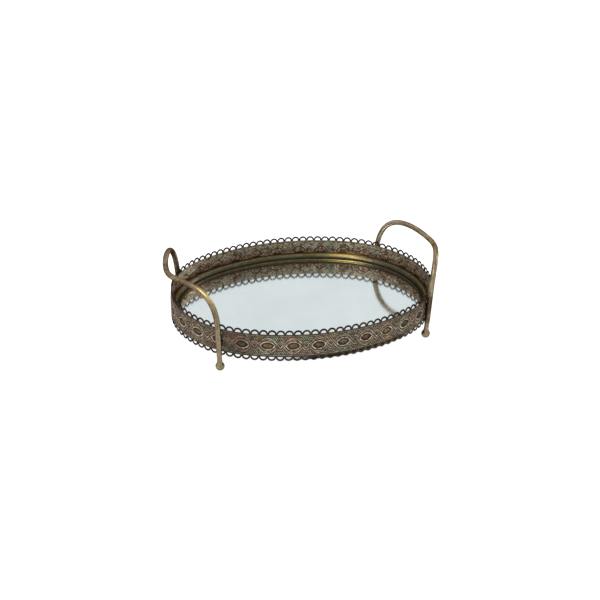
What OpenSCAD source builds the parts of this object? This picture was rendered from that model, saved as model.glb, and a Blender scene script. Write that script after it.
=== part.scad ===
// Oval mirrored vanity tray: a pierced and embossed gallery strip stands around a mirror,
// and two bent-rod handles run down past the gallery and end in the four ball feet.
// +X runs along the tray, +Y to the back and +Z up. The origin is on the surface that the
// feet stand on, under the middle of the tray. Millimetres.

/* [Tray] */
// Outside length of the oval gallery
tray_length = 330; // [300:1:360]
// Outside width of the oval gallery
tray_width = 254; // [244:1:262]
// Radius of the two ends of the oval
end_radius = 115; // [105:1:118]
// Height of the gallery's lowest loops above the feet
ground_clearance = 17.7; // [14:0.1:24]
// Height of the embossed band between the two rows of loops
band_height = 27.2; // [24:0.1:32]
// Thickness of the stamped strip
strip_thickness = 1.2; // [0.8:0.1:1.6]

/* [Loops and ornament] */
// Number of ornaments around the gallery
motif_count = 31; // [28:1:36]
// Distance along the gallery from the middle of the front to the nearest ornament's middle
motif_shift = 3.9; // [0:0.1:15]
// Number of loops on each edge for one ornament
loops_per_motif = 3; // [2:1:4]
// Height of a row of loops beyond the band
loop_height = 6.8; // [5:0.1:9]
// Width of the opening in an upper loop
upper_hole_w = 6.5; // [5:0.1:7.8]
// Height of the opening in an upper loop
upper_hole_h = 3.7; // [3.3:0.1:5.5]
// Height of metal between the band and the opening of an upper loop
upper_hole_drop = 0.7; // [0:0.1:1.5]
// Width of the opening in a lower loop
lower_hole_w = 6.2; // [5:0.1:7.8]
// Height of the opening in a lower loop
lower_hole_h = 3.2; // [3.2:0.1:5.5]
// Height of metal between the band and the opening of a lower loop
lower_hole_drop = 1.2; // [0:0.1:1.5]
// Length of an embossed eye
eye_length = 18.6; // [14:0.1:22]
// Height of an embossed eye
eye_height = 12.4; // [9:0.1:16]
// Width of the eye's raised rim
eye_rim = 1.7; // [1:0.1:2.5]
// Height of the embossing above the strip
emboss_height = 0.6; // [0.3:0.05:0.8]
// Radius of the boss between two eyes
boss_radius = 2.0; // [1:0.1:3]

/* [Mirror and its mounting] */
// How far the board's underside lies below the band
mount_drop = 1.5; // [0:0.1:2]
// Thickness of the mirror
mirror_thickness = 3; // [2:0.1:4]
// Depth that the mirror's border is ground down by, where the bezel's bead sits on it
mirror_rebate = 0.4; // [0.2:0.1:0.8]
// Thickness of the board behind the mirror
board_thickness = 1.2; // [1:0.1:2]
// Play between the edge of the mirror and the bezel's flange
mirror_play = 1.0; // [0.9:0.1:1.5]
// Thickness of the bezel's sheet
bezel_sheet = 0.8; // [0.6:0.1:1.2]
// Height and width of the bezel's quarter-round moulding
bezel_radius = 8; // [6:0.1:9]
// Radius of the bead along the bezel's inner edge
bead_radius = 1.1; // [0.8:0.1:1.5]
// Number of clips that hold the board
clip_count = 8; // [6:2:8]
// Width of a clip
clip_w = 9; // [6:0.5:12]
// Length of a clip's foot under the board
clip_reach = 11; // [8:0.5:14]
// Thickness of a clip
clip_sheet = 0.8; // [0.6:0.1:0.9]

/* [Handles and feet] */
// Diameter of the handle rod
rod_d = 7; // [6:0.1:8]
// Direction of a leg from the centre of the tray's end arc, in degrees from the long axis
leg_angle = 45.5; // [42:0.5:48]
// Lean of the right handle's legs along the gallery, in degrees from upright
leg_lean = 6.2; // [0:0.1:8]
// Lean of the left handle's front leg, as the handles were bent by hand
left_front_lean = 3.4; // [2:0.1:8]
// Lean of the left handle's back leg
left_back_lean = 10.3; // [5:0.1:11]
// How far the middle of a handle stands out from the tray's centre, right and left
bow_reach = [170.5, 172]; // [160:0.5:180]
// Height of a handle's middle, right and left
bow_height = [92.5, 92]; // [85:0.5:110]
// Length of the upper tangent that rounds the shoulder along the leg, right and left
shoulder_rise = [60, 65]; // [50:1:70]
// Length of the tangent that rounds the shoulder along the top bar, right and left
shoulder_run = [32.5, 34]; // [25:0.5:45]
// Radius of a ball foot
ball_radius = 5.4; // [4.5:0.1:6.5]
// Radius of the neck above the ball
neck_radius = 2.8; // [2.5:0.1:3.2]

/* [Hidden] */
$fn = 72;
HOLE_FN = 32; // for the loops
CUT = 1; // how far a cutting tool runs past what it cuts

// The four-arc oval. The two long arcs are centred on the Y axis and the end arcs on the X axis.
half_length = tray_length / 2;
half_width = tray_width / 2;
end_shift = half_length - end_radius;
side_radius = (pow(end_shift, 2) + pow(half_width, 2) - pow(end_radius, 2)) /
    (2 * (half_width - end_radius));
side_shift = side_radius - half_width;
end_half_angle = atan2(side_shift, end_shift);
side_half_angle = 90 - end_half_angle;
side_half_arc = side_radius * side_half_angle * PI / 180;
end_arc = 2 * end_radius * end_half_angle * PI / 180;
perimeter = 4 * side_half_arc + 2 * end_arc;

// Heights
band_bottom = ground_clearance + loop_height;
band_top = band_bottom + band_height;
gallery_top = band_top + loop_height;
gallery_bottom = ground_clearance;
band_middle = (band_bottom + band_top) / 2;
board_bottom = band_bottom - mount_drop;
board_top = board_bottom + board_thickness;
mirror_top = board_top + mirror_thickness;

// Loops
loop_count = motif_count * loops_per_motif;
loop_pitch = perimeter / loop_count;
loop_radius = loop_pitch / 2 + 0.15; // neighbouring loops run into each other at the foot
corner_offset = 0.5; // keeps the wall's corners clear of the points of the notches
chord_sag = pow(loop_pitch, 2) / (8 * end_radius); // of the wall's flats, at the tray's ends
crest_flat = 0.06; // taken off the top of a loop
loop_straight = loop_height + crest_flat - loop_radius;

// Insets from the outside of the strip
strip_play = 0.05; // between the strip and the bezel
flange_outside = strip_thickness + strip_play;
flange_inside = flange_outside + bezel_sheet;
mirror_inset = flange_inside + mirror_play;
moulding_centre = flange_inside + 0.4;
bezel_top = mirror_top + bezel_radius;
bead_inset = moulding_centre + bezel_radius;
bead_z = mirror_top - mirror_rebate + bead_radius;
mirror_face_inset = bead_inset + bead_radius + 0.1;

// Legs: u is the distance from the ball's centre along the leg
rod_gap = 0.1; // between the rod and the strip, filled by the braze
leg_radius = end_radius + rod_gap + rod_d / 2;
ball_pad = 0.2; // how much of the ball is flattened where it stands
ball_centre_z = ball_radius - ball_pad;
neck_top_u = 10;
taper_top_u = 19;
leans = [[leg_lean, leg_lean], [left_front_lean, left_back_lean]]; // [left][back]
function leg_top(lean) = (band_top - ball_centre_z) / cos(lean); // u where a leg ends
leg_top_u = leg_top(max(left_back_lean, leg_lean)); // enough for every leg
spigot_radius = 1.7;
socket_radius = 1.75;
spigot_bottom_u = 3;
slot_w = rod_d + 0.8; // what is left free of ornament under a leg

// Bow of a handle: rings along a Bezier curve for its front half and one for its back half
BOW_STEPS = 22;
BOW_SIDES = 16;
bow_rod_radius = rod_d / 2 - 0.05;

// ---- The oval as a path ----

// Point and outward direction at distance s along the outside, from the middle of the front
function on_arc(centre, radius, angle) =
    [centre.x + radius * cos(angle), centre.y + radius * sin(angle), angle];
function turn(length, radius) = length / radius * 180 / PI;
function front_half(s) = // from the middle of the front to the middle of the back, over +X
    s < side_half_arc ? on_arc([0, side_shift], side_radius, -90 + turn(s, side_radius)) :
    s < side_half_arc + end_arc ?
        on_arc([end_shift, 0], end_radius, -end_half_angle + turn(s - side_half_arc, end_radius)) :
    on_arc([0, -side_shift], side_radius,
        end_half_angle + turn(s - side_half_arc - end_arc, side_radius));
function oval_point(s) =
    s < perimeter / 2 ? front_half(s) :
    let (p = front_half(s - perimeter / 2)) [-p.x, -p.y, p.z + 180];

// Distance along the strip to the place where loops i - 1 and i meet
function loop_start(i) = motif_shift + i * loop_pitch;
// Distance to a corner of the wall, beside that place, and to the middle of the flat after it
function corner(i) = loop_start(i) + corner_offset;
function flat_middle(i) = corner(i + 0.5);

// Puts a child at s: its +X runs along the strip, its -Y points out of the tray
module on_oval(s) {
    p = oval_point(s);
    translate([p.x, p.y, 0]) rotate([0, 0, p.z + 90]) children();
}

// The oval's outline, inset from the outside of the strip, with one flat for every loop
function outline(inset) = [for (i = [0 : loop_count - 1]) let (p = oval_point(corner(i)))
    [p.x - inset * cos(p.z), p.y - inset * sin(p.z)]];
module oval_plate(inset, z, thickness)
    translate([0, 0, z]) linear_extrude(thickness) polygon(outline(inset));

// ---- Sweeps ----

// Walls between rings of points. Seen from where the rings go, their points turn anticlockwise.
function walls(rings, sides, closed) =
    [for (i = [0 : rings - (closed ? 1 : 2)], k = [0 : sides - 1])
        let (a = i * sides, b = ((i + 1) % rings) * sides, next = (k + 1) % sides)
        [a + k, b + k, b + next, a + next]];
// A section of [inset, height] points carried around the oval
module oval_sweep(section) {
    points = [for (i = [0 : loop_count - 1]) let (p = oval_point(corner(i)))
        for (q = section) [p.x - q[0] * cos(p.z), p.y - q[0] * sin(p.z), q[1]]];
    polyhedron(points, walls(loop_count, len(section), true), convexity = 6);
}
// A round bar along a path. No stretch of the path may run along the X axis.
function unit(v) = v / norm(v);
function ring(path, i, radius, sides) =
    let (t = unit(path[min(i + 1, len(path) - 1)] - path[max(i - 1, 0)]),
         across = unit(cross(t, [1, 0, 0])), out = cross(across, t))
    [for (k = [0 : sides - 1]) path[i] + radius * (cos(k * 360 / sides) * out +
        sin(k * 360 / sides) * across)];
module bar(path, radius, sides) {
    points = [for (i = [0 : len(path) - 1]) each ring(path, i, radius, sides)];
    last = (len(path) - 1) * sides;
    ends = [[for (k = [0 : sides - 1]) k], [for (k = [sides - 1 : -1 : 0]) last + k]];
    polyhedron(points, concat(walls(len(path), sides, false), ends), convexity = 4);
}

// ---- Gallery strip ----

// Outline of one loop's opening, standing on y = 0
module loop_hole(w, h) {
    straight = h - w / 2;
    translate([0, straight]) circle(d = w, $fn = HOLE_FN);
    translate([-w / 2, 0]) square([w, straight]);
}
// Outline of what is cut away between two loops, centred where they meet
module loop_notch()
    difference() {
        translate([-loop_pitch / 2, loop_straight]) square([loop_pitch, loop_radius + CUT]);
        for (side = [-1, 1]) translate([side * loop_pitch / 2, loop_straight])
            circle(loop_radius, $fn = 2 * HOLE_FN);
    }
// Cuts a 2-D outline through the strip at s, at height z, upwards (up = 1) or downwards (-1)
module through_strip(s, z, up)
    on_oval(s) translate([0, strip_thickness + CUT, z]) mirror([0, 0, up > 0 ? 0 : 1])
        rotate([90, 0, 0]) linear_extrude(strip_thickness + 2 * CUT) children();
module loop_cuts()
    for (i = [0 : loop_count - 1]) {
        middle = loop_start(i + 0.5);
        through_strip(middle, band_top + upper_hole_drop, 1) loop_hole(upper_hole_w, upper_hole_h);
        through_strip(middle, band_bottom - lower_hole_drop, -1)
            loop_hole(lower_hole_w, lower_hole_h);
        through_strip(loop_start(i), band_top, 1) loop_notch();
        through_strip(loop_start(i), band_bottom, -1) loop_notch();
    }

// A pointed oval: where two equal circles overlap
module eye_outline(length, height) {
    radius = (pow(length, 2) + pow(height, 2)) / (4 * height);
    intersection() {
        translate([0, radius - height / 2]) circle(radius);
        translate([0, height / 2 - radius]) circle(radius);
    }
}
// Embossing: it starts inside the strip's thickness and ends above its outside
module emboss(s) {
    root = strip_thickness * 0.4;
    on_oval(s) translate([0, root, band_middle]) rotate([90, 0, 0])
        linear_extrude(root + emboss_height) children();
}
module eye(s)
    emboss(s) difference() {
        eye_outline(eye_length, eye_height);
        eye_outline(eye_length - 4 * eye_rim, eye_height - 2 * eye_rim);
    }
module ornament() {
    for (i = [0 : motif_count - 1]) {
        eye(loop_start(i * loops_per_motif));
        emboss(loop_start((i + 0.5) * loops_per_motif)) circle(boss_radius, $fn = HOLE_FN);
    }
}
module gallery_strip()
    color("#6b5a44") {
        difference() {
            translate([0, 0, gallery_bottom]) linear_extrude(gallery_top - gallery_bottom)
                difference() {
                    polygon(outline(0));
                    polygon(outline(strip_thickness));
                }
            loop_cuts();
        }
        difference() {
            ornament();
            for (left = [0, 1], back = [0, 1]) leg_frame(left, back)
                translate([-rod_d / 2 - rod_gap - strip_thickness, -slot_w / 2, neck_top_u])
                    cube([rod_d, slot_w, leg_top_u - neck_top_u]);
        }
    }

// ---- Mirror, board, bezel and clips ----

// The bezel's sheet: a flange beside the mirror, a quarter-round over its edge, and a bead
function arc(centre, radius, angles) =
    [for (a = angles) centre + radius * [cos(a), sin(a)]];
bezel_section = concat(
    [[flange_outside, board_bottom], [flange_inside, board_bottom],
     [flange_inside, bezel_top - bezel_sheet]],
    arc([moulding_centre, mirror_top], bezel_radius - bezel_sheet, [90 : -20 : 10]),
    arc([bead_inset, bead_z], bead_radius, [-150 : 50 : 100]),
    arc([moulding_centre, mirror_top], bezel_radius, [20 : 14 : 90]),
    [[flange_outside, bezel_top]]);
module bezel_ring()
    color("#8a6b35") oval_sweep(bezel_section);
module mirror_glass()
    color("#d6dcdd") {
        oval_plate(mirror_inset, board_top, mirror_thickness - mirror_rebate);
        oval_plate(mirror_face_inset, board_top + mirror_rebate, mirror_thickness - mirror_rebate);
    }
module backing_board()
    color("#3b3128") oval_plate(mirror_inset, board_bottom, board_thickness);

// Clip number i: one leg up beside the board, and a foot under it. It stands on a flat of the wall.
module board_clip(i)
    color("#77736b") on_oval(flat_middle(floor((i + 0.5) * loop_count / clip_count)))
        translate([-clip_w / 2, flange_inside + chord_sag + 0.05, board_bottom - clip_sheet]) {
            cube([clip_w, clip_reach, clip_sheet]);
            cube([clip_w, clip_sheet, mirror_thickness]);
        }

// ---- Handles, feet and brazing ----

// Puts a child with its origin at a ball's centre and its +Z up the leg
module leg_frame(left, back)
    mirror([left, 0, 0]) mirror([0, back, 0])
        translate([end_shift, 0, ball_centre_z]) rotate([0, 0, -leg_angle])
            translate([leg_radius, 0, 0]) rotate([-leans[left][back], 0, 0]) children();

// The same leg as points, as if it were the front right one
function leg_point(u, lean) =
    let (along = u * sin(lean))
    [end_shift + leg_radius * cos(leg_angle) + along * sin(leg_angle),
     -leg_radius * sin(leg_angle) + along * cos(leg_angle),
     ball_centre_z + u * cos(lean)];
function bezier(p, t) =
    pow(1 - t, 3) * p[0] + 3 * t * pow(1 - t, 2) * p[1] + 3 * t * t * (1 - t) * p[2] + pow(t, 3) * p[3];
function half_bow(left, back) =
    let (lean = leans[left][back], top = leg_top(lean),
         guide = [leg_point(top, lean), leg_point(top + shoulder_rise[left], lean),
            [bow_reach[left], -shoulder_run[left], bow_height[left]],
            [bow_reach[left], 0, bow_height[left]]])
    concat([leg_point(top - 2, lean)], [for (i = [0 : BOW_STEPS]) bezier(guide, i / BOW_STEPS)]);
function bow_path(left) =
    let (rear = half_bow(left, 1))
    concat(half_bow(left, 0), [for (i = [BOW_STEPS : -1 : 0]) [rear[i].x, -rear[i].y, rear[i].z]]);

module handle_leg(lean) {
    translate([0, 0, spigot_bottom_u]) cylinder(r = spigot_radius, h = neck_top_u);
    translate([0, 0, neck_top_u])
        cylinder(r1 = neck_radius, r2 = rod_d / 2, h = taper_top_u - neck_top_u);
    translate([0, 0, taper_top_u]) cylinder(d = rod_d, h = leg_top(lean) - taper_top_u);
}
module handle(left)
    color("#9a8052") {
        for (back = [0, 1]) leg_frame(left, back) handle_leg(leans[left][back]);
        mirror([left, 0, 0]) bar(bow_path(left), bow_rod_radius, BOW_SIDES);
    }

module ball_foot(left, back)
    color("#8a744e") difference() {
        leg_frame(left, back) difference() {
            union() {
                sphere(ball_radius);
                cylinder(r1 = ball_radius * 0.8, r2 = neck_radius, h = neck_top_u);
            }
            translate([0, 0, spigot_bottom_u]) cylinder(r = socket_radius, h = neck_top_u);
        }
        translate([-tray_length, -tray_length, -2 * ball_radius])
            cube([2 * tray_length, 2 * tray_length, 2 * ball_radius]);
    }

// Two fillets of braze for each leg, below and above the ornament that the leg crosses
braze_ranges = [[band_bottom + 0.8, band_middle - eye_height / 2 - 1],
    [band_middle + eye_height / 2 + 1, band_top - 0.8]];
module braze(left, back)
    color("#a98d4f") difference() {
        for (range = braze_ranges)
            leg_frame(left, back) translate([0, 0, range[0] - ball_centre_z])
                linear_extrude(range[1] - range[0]) polygon([[-rod_d / 2 - rod_gap, -4.6],
                    [-1, -3.3], [-1, 3.3], [-rod_d / 2 - rod_gap, 4.6]]);
        leg_frame(left, back) cylinder(d = rod_d, h = leg_top_u);
    }

gallery_strip();
bezel_ring();
mirror_glass();
backing_board();
board_clip(0);  // board_clip_1
board_clip(1);  // board_clip_2
board_clip(2);  // board_clip_3
board_clip(3);  // board_clip_4
board_clip(4);  // board_clip_5
board_clip(5);  // board_clip_6
board_clip(6);  // board_clip_7
board_clip(7);  // board_clip_8
handle(1);  // handle_left
handle(0);  // handle_right
ball_foot(1, 0);  // ball_foot_front_left
ball_foot(0, 0);  // ball_foot_front_right
ball_foot(1, 1);  // ball_foot_back_left
ball_foot(0, 1);  // ball_foot_back_right
braze(1, 0);  // braze_front_left
braze(0, 0);  // braze_front_right
braze(1, 1);  // braze_back_left
braze(0, 1);  // braze_back_right
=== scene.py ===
import math

import bpy
import numpy as np
from mathutils import Matrix, Vector


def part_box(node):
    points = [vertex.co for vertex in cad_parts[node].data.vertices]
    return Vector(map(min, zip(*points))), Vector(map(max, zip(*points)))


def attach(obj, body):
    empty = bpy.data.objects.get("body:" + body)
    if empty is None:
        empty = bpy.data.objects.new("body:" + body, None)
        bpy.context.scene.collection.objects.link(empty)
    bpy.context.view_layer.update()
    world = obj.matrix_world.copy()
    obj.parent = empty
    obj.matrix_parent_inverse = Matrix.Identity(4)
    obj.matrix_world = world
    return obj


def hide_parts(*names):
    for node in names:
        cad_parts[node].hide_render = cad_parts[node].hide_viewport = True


# Looks of the oval mirrored vanity tray. +X runs along the tray, +Y to its back and +Z up.
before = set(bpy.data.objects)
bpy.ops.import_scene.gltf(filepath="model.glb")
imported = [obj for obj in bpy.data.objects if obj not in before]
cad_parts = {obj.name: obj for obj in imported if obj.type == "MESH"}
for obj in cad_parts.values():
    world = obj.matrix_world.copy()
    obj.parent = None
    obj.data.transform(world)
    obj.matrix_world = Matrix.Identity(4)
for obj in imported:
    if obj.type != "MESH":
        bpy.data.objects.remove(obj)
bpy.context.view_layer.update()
MM = 0.001

# ---- Dimensions of the design, in millimetres. Heights come from the CAD nodes ----
HALF_LENGTH = 165.0
HALF_WIDTH = 127.0
END_RADIUS = 115.0
MOTIFS = 31
LOOPS_PER_MOTIF = 3
MOTIF_SHIFT = 3.9
SHEET = 1.2
LOOP_ROW = 6.8
UPPER_HOLE = (6.5, 3.7, 0.7)  # width, height, distance from the band
LOWER_HOLE = (6.2, 3.2, 1.2)
EMBOSS = 0.6
MOULDING_CENTRE = 2.45  # inset of the bezel's quarter-round
MOULDING_RADIUS = 8.0
BEAD_RADIUS = 1.1
MIRROR_REBATE = 0.4
CLIPS = 8
LEG_ANGLE = 45.5
LEG_LEANS = {(1, -1): 6.2, (1, 1): 6.2, (-1, -1): 3.4, (-1, 1): 10.3}  # by side and back
ROD_RADIUS = 3.41  # just inside the solid rod
BALL_RADIUS = 5.4
BALL_CENTRE = 5.2
NECK_RADIUS = 2.8
NECK_TOP = 10.0
TAPER_TOP = 19.0
ROOT = 3.0  # how far a rod reaches into the neck of its foot
BOWS = {1: (170.5, 92.5, 60.0, 32.5), -1: (172.0, 92.0, 65.0, 34.0)}  # reach, height, rise and run


def node_z(name):
    """Lowest and highest level of a CAD node."""
    low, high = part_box(name)
    return low.z / MM, high.z / MM


GALLERY_BOTTOM, GALLERY_TOP = node_z("gallery_strip")
BEZEL_BOTTOM, BEZEL_TOP = node_z("bezel_ring")
MIRROR_TOP = node_z("mirror_glass")[1]
BAND_BOTTOM = GALLERY_BOTTOM + LOOP_ROW
BAND_TOP = GALLERY_TOP - LOOP_ROW
BAND_MIDDLE = (BAND_BOTTOM + BAND_TOP) / 2

# The four-arc oval, as in the CAD
END_SHIFT = HALF_LENGTH - END_RADIUS
SIDE_RADIUS = (END_SHIFT**2 + HALF_WIDTH**2 - END_RADIUS**2) / (2 * (HALF_WIDTH - END_RADIUS))
SIDE_SHIFT = SIDE_RADIUS - HALF_WIDTH
END_HALF_ANGLE = math.atan2(SIDE_SHIFT, END_SHIFT)
SIDE_HALF_ARC = SIDE_RADIUS * (math.pi / 2 - END_HALF_ANGLE)
END_ARC = 2 * END_RADIUS * END_HALF_ANGLE
PERIMETER = 4 * SIDE_HALF_ARC + 2 * END_ARC
MOTIF_PITCH = PERIMETER / MOTIFS
LOOPS = MOTIFS * LOOPS_PER_MOTIF
LOOP_PITCH = PERIMETER / LOOPS
LEG_STANDOFF = 3.6  # from the outside of the strip to the middle of a leg
LEG_RADIUS = END_RADIUS + LEG_STANDOFF


# ---- Paths ----
def oval(s, inset=0.0):
    """Points [x, y] at distance s along the outside of the strip, moved inwards by inset."""
    s = np.mod(s, PERIMETER)
    far = s >= PERIMETER / 2
    t = np.where(far, s - PERIMETER / 2, s)
    on_front = t < SIDE_HALF_ARC
    on_end = t < SIDE_HALF_ARC + END_ARC
    front = -math.pi / 2 + t / SIDE_RADIUS
    end = -END_HALF_ANGLE + (t - SIDE_HALF_ARC) / END_RADIUS
    back = END_HALF_ANGLE + (t - SIDE_HALF_ARC - END_ARC) / SIDE_RADIUS
    angle = np.where(on_front, front, np.where(on_end, end, back))
    radius = np.where(on_front | ~on_end, SIDE_RADIUS, END_RADIUS)
    centre_x = np.where(on_end & ~on_front, END_SHIFT, 0.0)
    centre_y = np.where(on_front, SIDE_SHIFT, np.where(on_end, 0.0, -SIDE_SHIFT))
    x = centre_x + (radius - inset) * np.cos(angle)
    y = centre_y + (radius - inset) * np.sin(angle)
    sign = np.where(far, -1.0, 1.0)
    return x * sign, y * sign


def from_front(s):
    """The distance s measured from the middle of the front, from minus to plus half the perimeter."""
    return np.mod(s + PERIMETER / 2, PERIMETER) - PERIMETER / 2


def wall_points(s, inset, z):
    """3-D points of the wall from distances along it, insets and heights."""
    s, inset, z = np.broadcast_arrays(s, inset, z)
    x, y = oval(s, inset)
    return np.stack([x, y, z], -1)


def corner_name(side, back):
    """Such as front_left. side and back are -1 or 1."""
    return "%s_%s" % ("front" if back < 0 else "back", "left" if side < 0 else "right")


def leg_axes(side, back):
    """Ball centre, outward, sideways and up directions of a leg. side and back are -1 or 1."""
    angle = math.radians(LEG_ANGLE)
    lean = math.radians(LEG_LEANS[side, back])
    flip = np.array([side, back, 1.0])
    out = np.array([math.cos(angle), math.sin(angle), 0.0])
    ball = np.array([END_SHIFT, 0, BALL_CENTRE]) + LEG_RADIUS * out
    up = np.array([math.sin(angle), -math.cos(angle), 0.0]) * math.sin(lean)
    up[2] = math.cos(lean)
    across = np.cross(up, out)
    return ball * flip, out * flip, across * flip, up * flip


def bezier(guide, count):
    """Points along the curve that four guide points give."""
    t = np.linspace(0, 1, count)[:, None]
    a, b, c, d = guide
    return (1 - t) ** 3 * a + 3 * t * (1 - t) ** 2 * b + 3 * t**2 * (1 - t) * c + t**3 * d


def handle_path(side):
    """Centre line of a handle from above its front ball to above its back ball."""
    reach, height, rise, run = BOWS[side]
    halves = []
    for back in (-1, 1):
        ball, _, _, up = leg_axes(side, back)
        leg_top = (BAND_TOP - BALL_CENTRE) / up[2]
        leg = ball + np.linspace(NECK_TOP - ROOT, leg_top, 60)[:, None] * up
        guide = [leg[-1], leg[-1] + rise * up, np.array([side * reach, back * run, height]),
                 np.array([side * reach, 0, height])]
        halves.append(np.concatenate([leg[:-1], bezier(guide, 160)]))
    return np.concatenate([halves[0], halves[1][-2::-1]])


def resample(path, step):
    """The same path in equal steps, and the distance of each point from its start."""
    length = np.concatenate([[0], np.cumsum(np.linalg.norm(np.diff(path, axis=0), axis=1))])
    count = int(length[-1] / step) + 1
    at = np.linspace(0, length[-1], count)
    return np.stack([np.interp(at, length, path[:, k]) for k in range(3)], -1), at


# ---- Meshes ----
def grid_faces(rings, sides, closed_rings, closed_sides=True, start=0):
    """Quads between rings of points."""
    ring = np.arange(rings if closed_rings else rings - 1)
    side = np.arange(sides if closed_sides else sides - 1)
    i, k = np.meshgrid(ring, side, indexing="ij")
    after, beside = (i + 1) % rings, (k + 1) % sides
    quads = np.stack([i * sides + k, after * sides + k, after * sides + beside, i * sides + beside], -1)
    return quads.reshape(-1, 4) + start


def tubes(count, rings, sides):
    """Quads and end caps of closed tubes whose points follow each other."""
    quads, caps = [], []
    for start in range(0, count * rings * sides, rings * sides):
        last = start + (rings - 1) * sides
        quads.append(grid_faces(rings, sides, False, start=start))
        caps += [list(range(start, start + sides))[::-1], list(range(last, last + sides))]
    return np.concatenate(quads), caps


def full_turn(count):
    """Equally spaced angles around a circle."""
    return np.arange(count) * 2 * math.pi / count


def volume_of(points, faces):
    """Six times the volume inside a mesh, negative where its faces look inwards."""
    a, b, c = points[faces[:, 0]], points[faces[:, 1]], points[faces[:, 2]]
    total = np.einsum("ij,ij->i", a, np.cross(b, c)).sum()
    if faces.shape[1] == 4:
        d = points[faces[:, 3]]
        total += np.einsum("ij,ij->i", a, np.cross(c, d)).sum()
    return total


def make_object(name, points, quads, caps=(), attributes=None):
    """A closed mesh from points in millimetres. Caps are polygons as lists of indices."""
    points = np.asarray(points, float).reshape(-1, 3)
    if volume_of(points, quads) < 0:
        quads = quads[:, ::-1]
        caps = [cap[::-1] for cap in caps]
    mesh = bpy.data.meshes.new(name)
    mesh.from_pydata((points * MM).tolist(), [], quads.tolist() + list(caps))
    mesh.update()
    mesh.polygons.foreach_set("use_smooth", [True] * len(mesh.polygons))
    for key, values in (attributes or {}).items():
        layer = mesh.attributes.new(key, "FLOAT", "POINT")
        layer.data.foreach_set("value", np.asarray(values, np.float32).ravel())
    thing = bpy.data.objects.new(name, mesh)
    bpy.context.scene.collection.objects.link(thing)
    return thing


def finish_piece(thing, material, slot_name, *nodes):
    """Gives a piece its material, puts it under the root body and hides the CAD nodes that it stands in
    for. slot_name is not used.
    """
    thing.data.materials.append(material)
    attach(thing, "root")
    if nodes:
        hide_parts(*nodes)


def smoothstep(value, low, high):
    t = np.clip((value - low) / (high - low), 0, 1)
    return t * t * (3 - 2 * t)


def ridge(distance, width):
    return np.exp(-((distance / width) ** 2))


def waves(x, y, seed, longest, shortest):
    """Smooth repeatable noise from about -1 to 1, as a sum of sines. Lengths are in millimetres."""
    rng = np.random.default_rng(seed)
    total = np.zeros(np.broadcast(x, y).shape)
    count = 7
    for length in np.geomspace(longest, shortest, count):
        direction, phase = rng.uniform(0, 2 * math.pi, 2)
        total += np.sin((x * math.cos(direction) + y * math.sin(direction)) * 2 * math.pi / length + phase)
    return total / math.sqrt(count) / 1.4


# ---- Materials ----
def srgb(red, green, blue):
    """A colour given as it looks on a screen, 0 to 255, in linear light."""
    def linear(c):
        c /= 255
        return c / 12.92 if c <= 0.04045 else ((c + 0.055) / 1.055) ** 2.4
    return (linear(red), linear(green), linear(blue), 1.0)


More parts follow.
